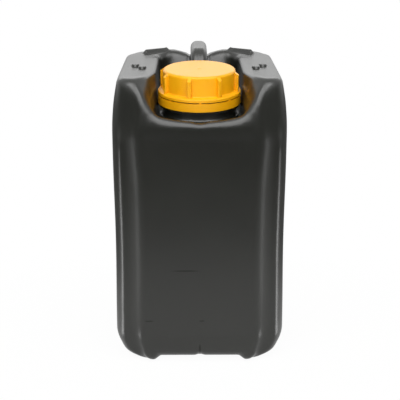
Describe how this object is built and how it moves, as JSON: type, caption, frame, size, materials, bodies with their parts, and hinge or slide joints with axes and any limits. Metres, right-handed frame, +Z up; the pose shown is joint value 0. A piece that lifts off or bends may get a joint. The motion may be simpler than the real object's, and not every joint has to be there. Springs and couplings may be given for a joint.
{
  "type": "motor oil bottle",
  "caption": "Stackable blow-moulded oil can with a carry handle over a trough, a sunken tilted neck, and a ribbed screw cap with a tamper band and a liner.",
  "frame": {"origin": "on the floor under the middle of the can", "axes": "+Z up, -Y towards the neck's side, which is the front, +X to the right of someone facing the front"},
  "size_m": [0.1464, 0.1902, 0.2585],
  "materials": {
    "can_plastic": "blow-moulded, satin black",
    "cap_plastic": "injection-moulded, satin yellow",
    "liner_foam": "closed-cell foam, white"
  },
  "bodies": {
    "can": {"can_body": "can_plastic", "tamper_band": "cap_plastic"},
    "liner": {"cap_liner": "liner_foam"},
    "cap": {"screw_cap": "cap_plastic"}
  },
  "joints": [
    {"name": "cap_lift", "type": "slide", "parent": "can", "child": "liner", "axis": [0, -0.0872, 0.9962], "range_m": [0, 0.0241]},
    {"name": "cap_turn", "type": "hinge", "parent": "liner", "child": "cap", "pos_m": [0, -0.0415, 0.2206], "axis": [0, -0.0872, 0.9962], "range_deg": [0, 1440]}
  ],
  "couplings": [
    {"joint": "cap_lift", "follows": "cap_turn", "m_per_rad": 0.00095493}
  ]
}
